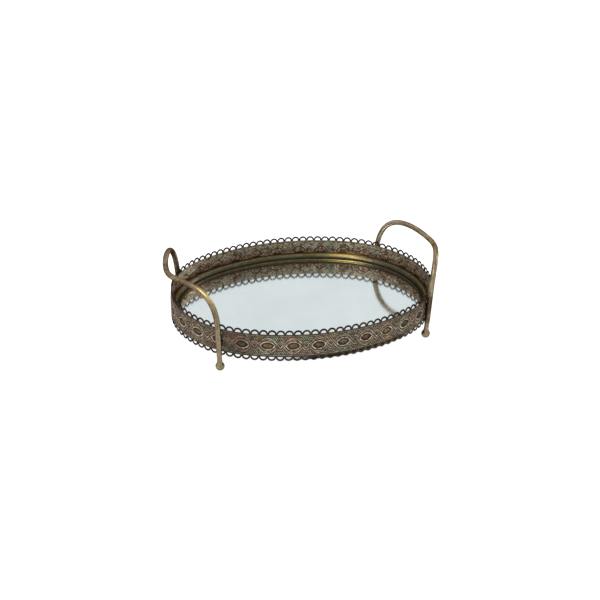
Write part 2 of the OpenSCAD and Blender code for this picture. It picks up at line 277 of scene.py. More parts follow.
class Shader:
    """Builds one procedural material. Positions in it are in millimetres."""

    def __init__(self, name, roughness, metallic):
        self.material = bpy.data.materials.new(name)
        self.material.use_nodes = True
        self.tree = self.material.node_tree
        self.surface = self.tree.nodes["Principled BSDF"]
        self.surface.inputs["Roughness"].default_value = roughness
        self.surface.inputs["Metallic"].default_value = metallic
        place = self.node("ShaderNodeTexCoord").outputs["Object"]
        scale = self.node("ShaderNodeMapping")
        scale.inputs["Scale"].default_value = (1 / MM, 1 / MM, 1 / MM)
        self.link(place, scale.inputs["Vector"])
        self.place = scale.outputs["Vector"]

    def node(self, kind, **settings):
        made = self.tree.nodes.new(kind)
        for key, value in settings.items():
            setattr(made, key, value)
        return made

    def link(self, source, target):
        self.tree.links.new(source, target)

    def put(self, value, socket):
        """Connects a socket, or sets a plain value."""
        if isinstance(value, bpy.types.NodeSocket):
            self.link(value, socket)
        else:
            socket.default_value = value

    def shifted(self, offset, stretch=(1, 1, 1)):
        made = self.node("ShaderNodeMapping")
        made.inputs["Location"].default_value = (offset, offset * 0.7, -offset)
        made.inputs["Scale"].default_value = stretch
        self.link(self.place, made.inputs["Vector"])
        return made.outputs["Vector"]

    def noise(self, size, detail=3.0, roughness=0.55, offset=0.0, stretch=(1, 1, 1)):
        """Cloudy noise whose largest features are about size millimetres wide."""
        made = self.node("ShaderNodeTexNoise")
        made.inputs["Scale"].default_value = 1 / size
        made.inputs["Detail"].default_value = detail
        made.inputs["Roughness"].default_value = roughness
        self.link(self.shifted(offset, stretch), made.inputs["Vector"])
        return made.outputs["Fac"]

    def attribute(self, name):
        return self.node("ShaderNodeAttribute", attribute_name=name).outputs["Fac"]

    def math(self, operation, a, b=0.0):
        made = self.node("ShaderNodeMath", operation=operation)
        self.put(a, made.inputs[0])
        self.put(b, made.inputs[1])
        return made.outputs[0]

    def plus(self, a, b):
        return self.math("ADD", a, b)

    def times(self, a, b):
        return self.math("MULTIPLY", a, b)

    def step(self, value, low, high, to_low=0.0, to_high=1.0):
        """Smooth step from to_low at low to to_high at high."""
        made = self.node("ShaderNodeMapRange", interpolation_type="SMOOTHSTEP")
        self.put(value, made.inputs["Value"])
        made.inputs["From Min"].default_value = low
        made.inputs["From Max"].default_value = high
        made.inputs["To Min"].default_value = to_low
        made.inputs["To Max"].default_value = to_high
        return made.outputs["Result"]

    def ramp(self, value, *stops):
        """Colour from pairs of position and colour."""
        made = self.node("ShaderNodeValToRGB")
        band = made.color_ramp
        while len(band.elements) < len(stops):
            band.elements.new(0.5)
        for element, (position, colour) in zip(band.elements, stops):
            element.position = position
            element.color = colour
        self.link(value, made.inputs["Fac"])
        return made.outputs["Color"]

    def fade(self, value, low, high):
        """A ramp over the middle of a noise's range."""
        return self.ramp(value, (0.3, low), (0.7, high))

    def mix(self, factor, a, b, blend="MIX"):
        made = self.node("ShaderNodeMix", data_type="RGBA", blend_type=blend)
        self.put(factor, made.inputs[0])
        self.put(a, made.inputs[6])
        self.put(b, made.inputs[7])
        return made.outputs[2]

    def bump(self, height, depth, strength):
        """Bumps of depth millimetres from a height of 0 to 1, added to any made before."""
        made = self.node("ShaderNodeBump")
        made.inputs["Strength"].default_value = strength
        made.inputs["Distance"].default_value = depth * MM
        self.link(height, made.inputs["Height"])
        before = self.surface.inputs["Normal"]
        if before.links:
            self.link(before.links[0].from_socket, made.inputs["Normal"])
        self.link(made.outputs["Normal"], before)

    def finish(self, **sockets):
        for key, value in sockets.items():
            self.put(value, self.surface.inputs[key.replace("_", " ")])
        return self.material


def gallery_patina():
    """Aged brass: brown and grey, rubbed light on the ridges, with verdigris, copper and gold."""
    m = Shader("gallery_patina", roughness=0.45, metallic=0.8)
    worn = m.attribute("worn")
    cloud = m.noise(16, detail=5, roughness=0.6, offset=23)
    mottle = m.noise(5, detail=6, roughness=0.7)
    grain = m.noise(1.1, detail=5, roughness=0.7, offset=11)
    olive = m.fade(mottle, srgb(58, 53, 43), srgb(110, 103, 87))
    umber = m.fade(mottle, srgb(62, 48, 43), srgb(112, 95, 84))
    tone = m.mix(m.step(cloud, 0.42, 0.58), olive, umber)
    # The inner face is painted lighter than the outer face: painted light, making up for the floor's glow
    # that lights only the outside
    tone = m.mix(m.times(m.attribute("inner_face"), 0.6), tone, srgb(142, 130, 108))
    spread = m.math("SUBTRACT", m.noise(6, detail=6, roughness=0.7, offset=37), 0.5)

    def patch(name, opacity):
        edge = m.step(m.plus(m.attribute(name), m.times(spread, 1.3)), 0.15, 0.95)
        return m.times(edge, opacity)

    green = patch("verdigris", 0.55)
    colour = m.mix(patch("copper", 0.6), tone, srgb(118, 84, 75))
    colour = m.mix(patch("gold", 0.6), colour, srgb(126, 100, 60))
    colour = m.mix(green, colour, srgb(106, 120, 108))
    hollow = m.attribute("hollow")
    eye = m.ramp(m.attribute("eye_tone"), (0.0, srgb(36, 29, 24)), (0.33, srgb(72, 50, 42)),
                 (0.66, srgb(78, 71, 54)), (1.0, srgb(122, 97, 66)))
    grime = m.step(m.noise(2.6, detail=5, roughness=0.7, offset=47), 0.4, 0.62)
    eye = m.mix(grime, m.mix(0.6, eye, srgb(34, 27, 22)), eye)
    colour = m.mix(m.times(hollow, m.step(mottle, 0.35, 0.6, 0.8, 0.42)), colour, eye)
    inside = m.attribute("inside")
    # The arches low on the inner face: red-brown, partly their own colour and partly painted shade on the
    # lower wall
    arch_brown_and_shade = m.mix(grime, srgb(86, 64, 52), srgb(136, 106, 86))
    colour = m.mix(m.times(inside, 0.7), colour, arch_brown_and_shade)
    crevice = m.step(worn, 0.08, 0.42, 1.0, 0.0)
    colour = m.mix(m.times(crevice, 0.85), colour, srgb(38, 29, 22))
    rubbed = m.times(m.step(worn, 0.52, 0.95), m.step(grain, 0.3, 0.55, 0.3, 1.0))
    covered = m.math("SUBTRACT", 1.0, m.math("MAXIMUM", hollow, m.times(inside, 0.7)))
    rubbed = m.times(rubbed, covered)
    handled = m.step(m.noise(4.5, detail=3, offset=91), 0.4, 0.6, 0.35, 0.9)
    colour = m.mix(m.times(rubbed, handled), colour, srgb(190, 180, 157))
    speckle = m.ramp(m.noise(3.2, detail=5, roughness=0.65, offset=83), (0.38, (0.3, 0.28, 0.26, 1)),
                     (0.62, (1.9, 1.9, 1.9, 1)))
    contrast = m.plus(0.55, m.times(m.attribute("inner_face"), 0.4))
    colour = m.mix(contrast, colour, m.mix(1.0, colour, speckle, "MULTIPLY"))
    # Painted shade just above the bezel, and darker lines along the band's top and bottom edges and along
    # the arches' outline
    colour = m.mix(m.attribute("dark"), colour, srgb(34, 29, 24))
    m.bump(grain, 0.12, 0.7)
    m.bump(m.noise(0.5, detail=2, offset=5), 0.05, 0.5)
    rough = m.plus(m.step(grain, 0.3, 0.7, 0.34, 0.5), m.times(green, 0.2))
    return m.finish(Base_Color=colour, Roughness=rough, Specular_Tint=srgb(150, 140, 125))


def loop_patina():
    """The pierced loops: almost black bronze, a little browner towards the band."""
    m = Shader("loop_patina", roughness=0.45, metallic=0.9)
    mottle = m.noise(9, detail=5, roughness=0.6, offset=3)
    colour = m.ramp(mottle, (0.3, srgb(28, 26, 23)), (0.55, srgb(42, 37, 31)), (0.8, srgb(74, 62, 48)))
    green = m.step(m.noise(13, detail=4, offset=51), 0.6, 0.72)
    colour = m.mix(m.times(green, 0.4), colour, srgb(92, 104, 94))
    colour = m.mix(m.attribute("worn"), colour, srgb(92, 78, 62))
    grain = m.noise(0.8, detail=4, offset=7)
    m.bump(grain, 0.08, 0.6)
    return m.finish(Base_Color=colour, Roughness=m.step(grain, 0.3, 0.7, 0.4, 0.6),
                    Specular_Tint=srgb(110, 105, 98))


def bezel_patina():
    """Bronzed moulding, with a painted highlight in gold along its swell, painted light on the swell's
    upper face and painted shade under the swell.
    """
    m = Shader("bezel_patina", roughness=0.35, metallic=0.9)
    streak = m.noise(5, detail=5, roughness=0.65, offset=2, stretch=(1, 1, 3))
    brown = m.fade(streak, srgb(48, 45, 36), srgb(82, 74, 59))
    tan = m.fade(streak, srgb(84, 72, 53), srgb(122, 103, 75))
    gold_highlight = m.fade(streak, srgb(196, 166, 88), srgb(242, 218, 140))
    cloud = m.noise(22, detail=5, roughness=0.6, offset=19)
    swell = m.attribute("swell")
    # Tan on the swell's upper face, strongest near the painted highlight: painted light, broken up by noise
    colour = m.mix(m.times(swell, m.step(cloud, 0.36, 0.6, 0.35, 1.0)), brown, tan)
    # Painted highlight in gold
    colour = m.mix(m.attribute("gold_highlight"), colour, gold_highlight)
    green = m.step(m.noise(16, detail=4, offset=71), 0.56, 0.7)
    colour = m.mix(m.times(green, 0.45), colour, srgb(84, 92, 74))
    # Painted shade on the lower part of the swell
    colour = m.mix(m.attribute("dark"), colour, srgb(44, 42, 35))
    grain = m.noise(0.9, detail=4, offset=7)
    m.bump(grain, 0.06, 0.5)
    return m.finish(Base_Color=colour, Roughness=m.step(grain, 0.3, 0.7, 0.26, 0.42),
                    Specular_Tint=srgb(170, 155, 120))


def rod_patina():
    """Drawn rod: gold along the top, partly rubbed and partly painted highlight; brown in random stretches,
    and painted shade underneath.
    """
    m = Shader("rod_patina", roughness=0.38, metallic=0.9)
    cloud = m.noise(26, detail=5, roughness=0.6, offset=29)
    streak = m.noise(4, detail=5, roughness=0.65, offset=13)
    streak = m.plus(m.times(streak, 0.45), m.times(m.attribute("streak"), 0.55))
    tan = m.ramp(streak, (0.34, srgb(84, 72, 56)), (0.66, srgb(162, 146, 119)))
    gold_highlight = m.ramp(streak, (0.34, srgb(122, 101, 62)), (0.66, srgb(196, 174, 124)))
    # Gold where rubbed: partly rubbing, partly painted highlight on the top of the rod
    colour = m.mix(m.step(m.plus(cloud, m.attribute("rubbed")), 0.58, 0.86), tan, gold_highlight)
    # Dark brown in random stretches, and under the rod as painted shade
    shade = m.step(m.plus(m.noise(18, detail=4, offset=61), m.attribute("aged_and_shade")), 0.52, 0.8)
    colour = m.mix(m.times(shade, 0.85), colour, srgb(58, 45, 34))
    grain = m.noise(0.9, detail=5, offset=7)
    m.bump(grain, 0.10, 0.6)
    m.bump(m.noise(7, detail=2, offset=17), 0.35, 0.5)
    return m.finish(Base_Color=colour, Roughness=m.step(grain, 0.3, 0.7, 0.28, 0.48),
                    Specular_Tint=srgb(120, 100, 76))


def braze_metal():
    """Dull yellow filler with a little verdigris."""
    m = Shader("braze", roughness=0.5, metallic=0.85)
    lumps = m.noise(2.5, detail=5, offset=3)
    colour = m.ramp(lumps, (0.3, srgb(70, 58, 42)), (0.55, srgb(118, 100, 70)), (0.8, srgb(124, 136, 120)))
    m.bump(lumps, 0.3, 0.7)
    return m.finish(Base_Color=colour, Roughness=m.step(lumps, 0.3, 0.7, 0.38, 0.65),
                    Specular_Tint=srgb(140, 130, 110))


def seam_metal():
    """Grey solder gone blue-green, with dark pits."""
    m = Shader("seam", roughness=0.55, metallic=0.6)
    lumps = m.noise(2.2, detail=5, roughness=0.65, offset=8)
    colour = m.ramp(lumps, (0.3, srgb(52, 50, 44)), (0.5, srgb(98, 112, 102)), (0.75, srgb(150, 172, 158)))
    m.bump(lumps, 0.25, 0.7)
    return m.finish(Base_Color=colour, Roughness=m.step(lumps, 0.3, 0.7, 0.4, 0.7))


def mirror_silver():
    """Silvered glass with the faintest cloudiness."""
    m = Shader("mirror", roughness=0.1, metallic=1.0)
    haze = m.noise(45, detail=4, offset=9)
    colour = m.fade(haze, srgb(216, 222, 222), srgb(223, 229, 229))
    wipe = m.noise(14, detail=6, roughness=0.7, offset=21, stretch=(1, 3, 1))
    m.bump(m.noise(80, detail=1, offset=4), 0.02, 0.3)
    return m.finish(Base_Color=colour, Roughness=m.step(wipe, 0.4, 0.8, 0.08, 0.11))


def fibre_board():
    """Dark pressed board under the mirror."""
    m = Shader("board", roughness=0.8, metallic=0.0)
    fibre = m.noise(1.6, detail=8, roughness=0.75, stretch=(1, 2.5, 1))
    cloud = m.noise(30, detail=3, offset=6)
    colour = m.fade(fibre, srgb(44, 34, 26), srgb(84, 68, 52))
    colour = m.mix(m.step(cloud, 0.4, 0.7), colour, srgb(60, 48, 37))
    m.bump(fibre, 0.15, 0.6)
    return m.finish(Base_Color=colour, Roughness=m.step(fibre, 0.3, 0.7, 0.7, 0.9))


def clip_steel():
    """Dull plated sheet with fine rolling lines."""
    m = Shader("clip_steel", roughness=0.4, metallic=1.0)
    lines = m.noise(1.2, detail=6, roughness=0.7, stretch=(1, 14, 14))
    spots = m.step(m.noise(3, detail=4, offset=31), 0.58, 0.7)
    colour = m.fade(lines, srgb(112, 108, 100), srgb(156, 152, 142))
    colour = m.mix(m.times(spots, 0.5), colour, srgb(96, 68, 48))
    m.bump(lines, 0.03, 0.4)
    return m.finish(Base_Color=colour, Roughness=m.step(lines, 0.3, 0.7, 0.32, 0.5))


# The painted shadow on the floor under the tray's right half, in millimetres: a rounded patch, seen through
# the lower loops, that gives way to lit paper along its edge and towards both ends of the tray
SHADE_CENTRE = (12.2, -15.5)
SHADE_HALF = (149.6, 81.2)
SHADE_POWER = 1.9  # 2 would make it an ellipse
SHADE_EDGE = 0.972  # it fades from here to 1, its outline
SHADE_LEFT_FADE = (-15, -75)
SHADE_RIGHT_FADE = (102, 152)
FLOOR_GLOW = 0.97


def floor_paper():
    """White paper lit from below like a light table, but with a painted shadow under the tray's right half,
    where it does not glow.
    """
    m = Shader("floor_paper", roughness=0.9, metallic=0.0)
    colour = m.fade(m.noise(60, detail=2), (0.24, 0.24, 0.24, 1), (0.26, 0.26, 0.26, 1))
    split = m.node("ShaderNodeSeparateXYZ")
    m.link(m.place, split.inputs[0])
    beyond = 0.0
    for axis in range(2):
        offset = m.math("SUBTRACT", split.outputs[axis], SHADE_CENTRE[axis])
        share = m.math("ABSOLUTE", m.math("DIVIDE", offset, SHADE_HALF[axis]))
        beyond = m.plus(m.math("POWER", share, SHADE_POWER), beyond)
    lit = m.math("MAXIMUM", m.step(beyond, SHADE_EDGE, 1.0), m.step(split.outputs[0], *SHADE_LEFT_FADE))
    lit = m.math("MAXIMUM", lit, m.step(split.outputs[0], *SHADE_RIGHT_FADE))
    # Painted shadow: darker paper, and no glow, where the floor is not lit
    colour = m.mix(lit, srgb(116, 108, 100), colour)
    m.surface.inputs["Emission Color"].default_value = (1, 1, 1, 1)
    m.surface.inputs["Specular IOR Level"].default_value = 0.1
    return m.finish(Base_Color=colour, Emission_Strength=m.times(lit, FLOOR_GLOW))


GALLERY = gallery_patina()
LOOP = loop_patina()
BEZEL = bezel_patina()
ROD = rod_patina()
BRAZE = braze_metal()
SEAM = seam_metal()
MIRROR = mirror_silver()
BOARD = fibre_board()
CLIP = clip_steel()


# ---- The embossed band ----
EYE_LENGTH = 8.4  # half length and half height of the line along the top of an eye's rim
EYE_HEIGHT = 5.3
CROSSING = 10.6  # where the two ribbons cross, from the middle of an eye
RIBBON_RISE = 9.2  # how far a ribbon passes above or below an eye
RIBBON_DIP = 4.5  # and how far from the middle of the band between two eyes
RIBBON_HALF = 0.95
HEART_TIP = -2.7  # lowest point of the small heart between two eyes
HEART_SLOPE = 1.25
HEART_HALF = 2.9
DOT_PITCH = MOTIF_PITCH / 12
DOT_ROW = 2.05
DOT_RADIUS = 0.68
LINE_HALF = 0.58  # half width of a ribbon's two raised edges
FIELD_HALF = 12.3  # half height of the dotted field
EDGE_LINE = 12.6  # and of the faint line above and below it
FLOOR_DEPTH = 0.35  # depth of the recess in an eye below the band's plain surface


def eye_distance(u, v, half_length, half_height):
    """Distance from a pointed oval's outline, negative inside it."""
    radius = (half_length**2 + half_height**2) / (2 * half_height)
    return np.hypot(u, np.abs(v) + radius - half_height) - radius


def ribbon(u):
    """Height of the upper ribbon's middle and its slope."""
    half = MOTIF_PITCH / 2
    a = np.abs(u)
    over = RIBBON_RISE * np.cos(math.pi * a / (2 * CROSSING))
    under = -RIBBON_DIP * np.sin(math.pi * (a - CROSSING) / (2 * (half - CROSSING)))
    slope_over = -RIBBON_RISE * math.pi / (2 * CROSSING) * np.sin(math.pi * a / (2 * CROSSING))
    slope_under = (-RIBBON_DIP * math.pi / (2 * (half - CROSSING))
                   * np.cos(math.pi * (a - CROSSING) / (2 * (half - CROSSING))))
    inside = a < CROSSING
    height = np.where(inside, over, under)
    slope = np.where(inside, slope_over, slope_under) * np.sign(u)
    return height, slope


def relief_height(u, v, ribbon_height):
    """Embossing in millimetres at u along and v above the middle of an eye."""
    rim_distance = eye_distance(u, v, EYE_LENGTH, EYE_HEIGHT)
    rim = EMBOSS * ridge(rim_distance, 0.8)
    recess = -FLOOR_DEPTH * smoothstep(-rim_distance, 0.3, 1.2)
    pupil = 0.12 * smoothstep(-eye_distance(u, v, 4.4, 1.7), -1.2, 0.8)
    groove = -0.2 * ridge(rim_distance - 1.6, 0.7)

    height, slope = ribbon(u)
    length = np.sqrt(1 + slope**2)
    upper = np.abs(v - height) / length
    lower = np.abs(v + height) / length
    near_crossing = np.abs(v) < 3.2
    upper_lines = ribbon_height * ridge(upper - RIBBON_HALF, LINE_HALF)
    lower_lines = ribbon_height * ridge(lower - RIBBON_HALF, LINE_HALF)
    hidden_upper = near_crossing & (u < 0)
    hidden_lower = near_crossing & (u >= 0)
    upper_lines *= np.where(hidden_upper, smoothstep(lower, 1.3, 2.0), 1)
    lower_lines *= np.where(hidden_lower, smoothstep(upper, 1.3, 2.0), 1)

    from_boss = np.abs(MOTIF_PITCH / 2 - np.abs(u))
    stroke = (v - HEART_TIP - HEART_SLOPE * from_boss) / math.hypot(1, HEART_SLOPE)
    boss = 0.58 * ridge(stroke, 0.62) * smoothstep(HEART_HALF - from_boss, 0.0, 0.7)
    boss = np.maximum(boss, 0.34 * ridge(np.hypot(from_boss, v - 1.6), 1.0))

    edge = 0.12 * ridge(np.abs(v) - EDGE_LINE, 0.6)
    outside = np.abs(v) - np.abs(height) - 2.2
    field = smoothstep(outside, 0.0, 0.6) * smoothstep(FIELD_HALF - np.abs(v), 0.0, 0.5)
    row = np.rint(v / DOT_ROW)
    along = np.mod(u / DOT_PITCH + 0.5 * np.mod(row, 2) + 0.5, 1) - 0.5
    dot = ridge(np.hypot(along * DOT_PITCH, v - row * DOT_ROW), DOT_RADIUS)
    dots = field * (0.54 * dot - 0.16)

    lines = np.maximum.reduce([rim, upper_lines, lower_lines, boss])
    return lines + recess + pupil * (recess < -0.1) + groove * (lines < 0.25) + edge + dots


def wear(height):
    """How far each point stands out from what is around it, from 0 in a crevice to 1 on a crest."""
    smooth = height
    for _ in range(8):
        smooth = (np.roll(smooth, 1, 1) + 2 * smooth + np.roll(smooth, -1, 1)) / 4
        padded = np.concatenate([smooth[:1], smooth, smooth[-1:]])
        smooth = (padded[:-2] + 2 * padded[1:-1] + padded[2:]) / 4
    return np.interp(height - smooth, [-0.13, 0.0, 0.2], [0.0, 0.45, 1.0])


# How the inside of each eye looks: 0 dark, 0.33 red-brown, 0.66 olive, 1 gold. Others are random.
EYE_TONES = {-5: 0.8, -4: 0.02, -3: 0.95, -2: 0.9, -1: 0.3, 0: 0.62, 1: 0.28, 2: 0.97, 3: 0.6, 4: 0.5}


def eye_tones(s):
    """The eye tone at each distance along the band."""
    rng = np.random.default_rng(17)
    tones = rng.uniform(0, 1, MOTIFS)
    for motif, tone in EYE_TONES.items():
        tones[motif % MOTIFS] = tone
    nearest = np.rint((s - MOTIF_SHIFT) / MOTIF_PITCH).astype(int) % MOTIFS
    return tones[nearest]


BAND_COLUMNS = 56 * MOTIFS
OUTER_ROWS = 56
INNER_ROWS = 32
OUTER_RIBBON = 0.34  # height of the ribbons' edges outside, and what shows of them inside
INNER_RIBBON = 0.2
PRESSED = 0.85  # share of the embossing's height that its hollows have inside
EDGE_ROUND = 0.22
DULL_MIDDLE = -128  # middle and half length of the stretch near the left end that is less rubbed
DULL_HALF = 26

# Patches of patina: kind, distance along the band, height, and their half sizes, in millimetres
PATCHES = [
    ("copper", -134, 43, 6, 9), ("verdigris", -135, 27, 6, 5), ("copper", -120, 46, 10, 5),
    ("gold", -99, 49, 6, 4), ("verdigris", -80, 48, 8, 5), ("verdigris", -95, 28, 14, 4),
    ("gold", -85, 38, 6, 5), ("copper", -60, 48, 9, 5), ("gold", -56, 38, 7, 5),
    ("verdigris", -38, 49, 9, 4), ("verdigris", -68, 28, 12, 4), ("copper", -38, 28, 9, 4),
    ("gold", -14, 47, 12, 5), ("copper", -26, 38, 6, 4), ("verdigris", -4, 27, 12, 3),
    ("copper", 34, 37, 6, 5), ("copper", 60, 47, 12, 5), ("gold", 63, 36, 7, 6),
    ("gold", 66, 27, 10, 3), ("verdigris", 78, 33, 7, 8), ("verdigris", 92, 45, 9, 5),
    ("copper", 110, 38, 9, 8), ("verdigris", 122, 30, 7, 5), ("copper", 150, 40, 12, 9),
    ("copper", 300, 44, 28, 9), ("copper", 245, 42, 30, 10), ("copper", -375, 43, 34, 8),
]


def patch_strengths(s, z):
    """How strongly each kind of patch shows at each point."""
    strengths = {"copper": 0.0, "gold": 0.0, "verdigris": 0.0}
    place = from_front(s)
    for kind, middle, height, half_length, half_height in PATCHES:
        spot = np.exp(-(((place - middle) / half_length) ** 2) - ((z - height) / half_height) ** 2)
        strengths[kind] = np.maximum(strengths[kind], 0.85 * spot)
    for seed, kind in enumerate(strengths):
        wide = waves(s, z * 2, seed + 3, longest=155, shortest=14)
        elsewhere = smoothstep(np.abs(place), 140, 160)
        strengths[kind] = np.maximum(strengths[kind], elsewhere * 0.6 * smoothstep(wide, 0.2, 0.9))
    return strengths


def gallery_band():
    """The embossed wall between the two rows of loops, as one closed skin around its section."""
    s = np.arange(BAND_COLUMNS) * PERIMETER / BAND_COLUMNS + MOTIF_SHIFT
    u = np.mod(s - MOTIF_SHIFT + MOTIF_PITCH / 2, MOTIF_PITCH) - MOTIF_PITCH / 2
    top_edge = BAND_TOP + UPPER_HOLE[2]
    bottom_edge = BAND_BOTTOM - LOWER_HOLE[2]
    low, high = bottom_edge + EDGE_ROUND, top_edge - EDGE_ROUND
    step = (high - low) / (OUTER_ROWS - 1)

    def heights(z, ribbon_height):
        return relief_height(*np.meshgrid(u, z - BAND_MIDDLE), ribbon_height)

    outer_z = np.linspace(low, high, OUTER_ROWS)
    outer = np.clip(heights(outer_z, OUTER_RIBBON), -0.5, EMBOSS - 0.03)
    inner_z = np.append(high - step * np.arange(INNER_ROWS), low)
    pressed = -PRESSED * np.clip(heights(inner_z, INNER_RIBBON), -0.3, EMBOSS)
    pressed[-2:] = 0

    def edge(level, direction):
        inset = np.array([0.1, 0.5, 0.9]) * SHEET
        z = level + direction * EDGE_ROUND * np.array([-0.3, 0.0, -0.3])
        inset, z = inset[::int(direction), None], z[:, None]
        return np.repeat(inset, BAND_COLUMNS, 1), np.repeat(z, BAND_COLUMNS, 1)

    top_inset, top_z = edge(top_edge, 1)
    bottom_inset, bottom_z = edge(bottom_edge, -1)
    inset = np.concatenate([-outer, top_inset, SHEET + pressed, bottom_inset])
    outer_grid = np.repeat(outer_z[:, None], BAND_COLUMNS, 1)
    inner_grid = np.repeat(inner_z[:, None], BAND_COLUMNS, 1)
    z = np.concatenate([outer_grid, top_z, inner_grid, bottom_z])
    points = wall_points(s[None, :], inset, z)

    def around(outside, inside, edges=0.0):
        """Values around the whole section, from those of its outer face, inner face and edges."""
        edges = np.full(top_z.shape, edges)
        return np.concatenate([outside, edges, inside, edges])

    hollow = around(smoothstep(-outer, 0.05, 0.3), smoothstep(pressed, 0.05, 0.25))
    rubbed = 1 - 0.36 * ridge(from_front(s) - DULL_MIDDLE, DULL_HALF)
    worn = around(wear(outer) * rubbed, wear(1.3 * pressed), 0.3)
    scallop = BAND_MIDDLE + np.maximum(np.abs(ribbon(u)[0]), 3.5)[None, :] - 2.0
    # inside: the arches low on the inner face, which the shader makes red-brown, partly as painted shade
    inside = around(0 * outer, smoothstep(scallop - inner_grid, -0.5, 0.8))
    # Darker along the band's top and bottom edges
    dark_outside = 0.75 * (smoothstep(BAND_BOTTOM + 0.9 - outer_grid, 0, 0.8)
                           + smoothstep(outer_grid - BAND_TOP + 0.7, 0, 0.8))
    # Painted shade just above the bezel, and a dark line along the arches' outline
    dark_inside = np.maximum(0.3 * smoothstep(BEZEL_TOP + 0.9 - inner_grid, 0, 0.8),
                             0.6 * ridge(inner_grid - scallop, 0.75))
    attributes = {"worn": worn, "hollow": hollow, "inside": inside,
                  "dark": np.clip(around(dark_outside, dark_inside), 0, 1),
                  # marks the inner face, which the shader paints lighter as painted light
                  "inner_face": around(0 * outer, 1 + 0 * pressed),
                  "eye_tone": np.repeat(eye_tones(s)[None, :], len(z), 0),
                  **patch_strengths(s[None, :], z)}
    return make_object("gallery_band", points, grid_faces(len(inset), BAND_COLUMNS, True),
                       attributes=attributes)


LOOP_OVERLAP = 0.05  # how far a loop reaches into its neighbour's place
LOOP_ROOT = 0.35  # how far its feet reach into the band


def loop_outline(hole, count=25):
    """Inner and outer edge of a loop, as pairs of x and height beyond the band."""
    width, height, drop = hole
    radius = width / 2
    straight = height - radius
    turn = np.linspace(math.pi, 0, count)
    inner = np.stack([radius * np.cos(turn), drop + straight + radius * np.sin(turn)], -1)
    outer_radius = LOOP_PITCH / 2 + 0.15
    centre = LOOP_ROW - outer_radius
    outer = np.stack([outer_radius * np.cos(turn), centre + outer_radius * np.sin(turn)], -1)
    end = LOOP_PITCH / 2 + LOOP_OVERLAP
    outer[:, 0] = np.clip(outer[:, 0], -end, end)
    feet_inner = np.array([[-radius, -LOOP_ROOT], [-radius, drop + straight * 0.5]])
    feet_outer = np.array([[-end, -LOOP_ROOT], [-end, centre * 0.5]])
    flip = [-1, 1]
    inner = np.concatenate([feet_inner, inner, feet_inner[::-1] * flip])
    outer = np.concatenate([feet_outer, outer, feet_outer[::-1] * flip])
    return inner, outer


LOOP_SECTION = 12


def rounded_section(count, squareness):
    """Points of a rounded rectangle of half size 1."""
    c, s = np.cos(full_turn(count)), np.sin(full_turn(count))
    power = 2 / squareness
    return np.sign(c) * np.abs(c) ** power, np.sign(s) * np.abs(s) ** power


def gallery_loops(name, hole, upward):
    """A row of pierced loops along one edge of the band."""
    inner, outer = loop_outline(hole)
    across, through = rounded_section(LOOP_SECTION, 3.0)
    middle = (inner + outer) / 2
    half = (outer - inner) / 2
    flat = middle[:, None, :] + half[:, None, :] * across[None, :, None]
    rng = np.random.default_rng(5 + int(upward))
    points, worn = [], []
    for loop in range(LOOPS):
        centre = MOTIF_SHIFT + (loop + 0.5) * LOOP_PITCH
        sag = 1 + rng.uniform(-0.04, 0.0) * (flat[..., 1] / LOOP_ROW)
        lean = rng.uniform(0.0, 0.25) * np.clip(flat[..., 1] / LOOP_ROW, 0, 1)
        along = centre + flat[..., 0]
        rise = flat[..., 1] * sag
        z = BAND_TOP + rise if upward else BAND_BOTTOM - rise
        inset = SHEET / 2 + SHEET / 2 * through[None, :] + lean
        points.append(wall_points(along, inset, z).reshape(-1, 3))
        fade = 0.6 * (1 - smoothstep(flat[..., 1], 0.0, 2.6)) + rng.uniform(0, 0.2)
        if not upward:  # browner on the right half of the front
            fade += 0.65 * smoothstep(centre, -10, 40) * (1 - smoothstep(centre, 130, 170))
        worn.append(np.clip(fade, 0, 1).reshape(-1))
    return make_object(name, np.concatenate(points), *tubes(LOOPS, len(inner), LOOP_SECTION),
                       attributes={"worn": np.concatenate(worn)})


finish_piece(gallery_band(), GALLERY, "gallery_patina", "gallery_strip")
for row_name, hole, upward in (("upper", UPPER_HOLE, True), ("lower", LOWER_HOLE, False)):
    loops = gallery_loops("gallery_loops_" + row_name, hole, upward)
    finish_piece(loops, LOOP, "gallery_patina", "gallery_strip")


# ---- Bezel, mirror, board and clips ----
def bezel_profile():
    """The bezel's section as inset and height, from the foot of its outside over the bead."""
    def arc(cx, cz, radius, start, end, count):
        turn = np.radians(np.linspace(start, end, count))
        return np.stack([cx + radius * np.cos(turn), cz + radius * np.sin(turn)], -1)

    outside, inside = 1.25, 2.05
    bead_inset = MOULDING_CENTRE + MOULDING_RADIUS
    bead_z = MIRROR_TOP - MIRROR_REBATE + BEAD_RADIUS
    lip = arc(outside + 0.35, BEZEL_TOP - 0.35, 0.35, 180, 90, 4)
    swell = arc(MOULDING_CENTRE, MIRROR_TOP, MOULDING_RADIUS, 88, 27, 15)
    quirk = np.array([[bead_inset - 1.25, bead_z + 1.75], [bead_inset - 1.3, bead_z + 1.15]])
    bead = arc(bead_inset, bead_z, BEAD_RADIUS, 120, -150, 13)
    under = arc(MOULDING_CENTRE, MIRROR_TOP, MOULDING_RADIUS - 0.8, 12, 88, 9)
    back = np.array([[inside, BEZEL_TOP - 1.0], [inside, BEZEL_BOTTOM + 0.05]])
    start = np.array([[outside, BEZEL_BOTTOM + 0.05], [outside, BEZEL_TOP - 2.0]])
    return np.concatenate([start, lip, swell, quirk, bead, under, back])


HIGHLIGHT_MIDDLE = PERIMETER / 2 - 104  # where along the bezel the painted highlight is brightest
